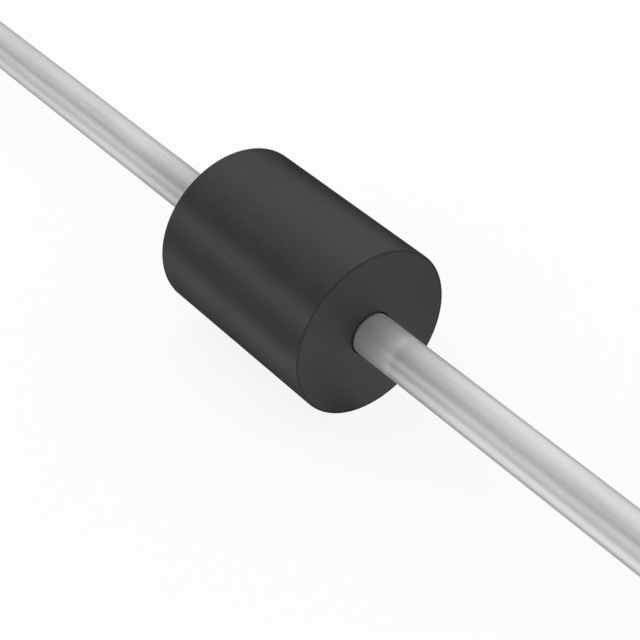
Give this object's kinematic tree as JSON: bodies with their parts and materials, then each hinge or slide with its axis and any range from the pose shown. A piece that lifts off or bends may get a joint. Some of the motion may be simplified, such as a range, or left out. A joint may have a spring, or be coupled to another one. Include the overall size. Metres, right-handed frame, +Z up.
{
  "type": "tvs diode",
  "caption": "Axial-lead transient suppressor diode with a round black moulded case and straight tinned wire leads.",
  "frame": {"origin": "middle of the case, on the axis of the leads", "axes": "+X along the leads, towards the right lead; +Z up as the diode lies on its side; +Y across"},
  "size_m": [0.0558, 0.004, 0.004],
  "materials": {
    "moulded_epoxy": "satin",
    "tinned_copper": "satin",
    "silicon": "polished",
    "solder": "satin",
    "silicone": "satin"
  },
  "bodies": {
    "root": {"case": "moulded_epoxy", "left_lead": "tinned_copper", "right_lead": "tinned_copper", "left_chip": "silicon", "right_chip": "silicon", "left_solder": "solder", "middle_solder": "solder", "right_solder": "solder", "junction_coating": "silicone"}
  },
  "joints": []
}
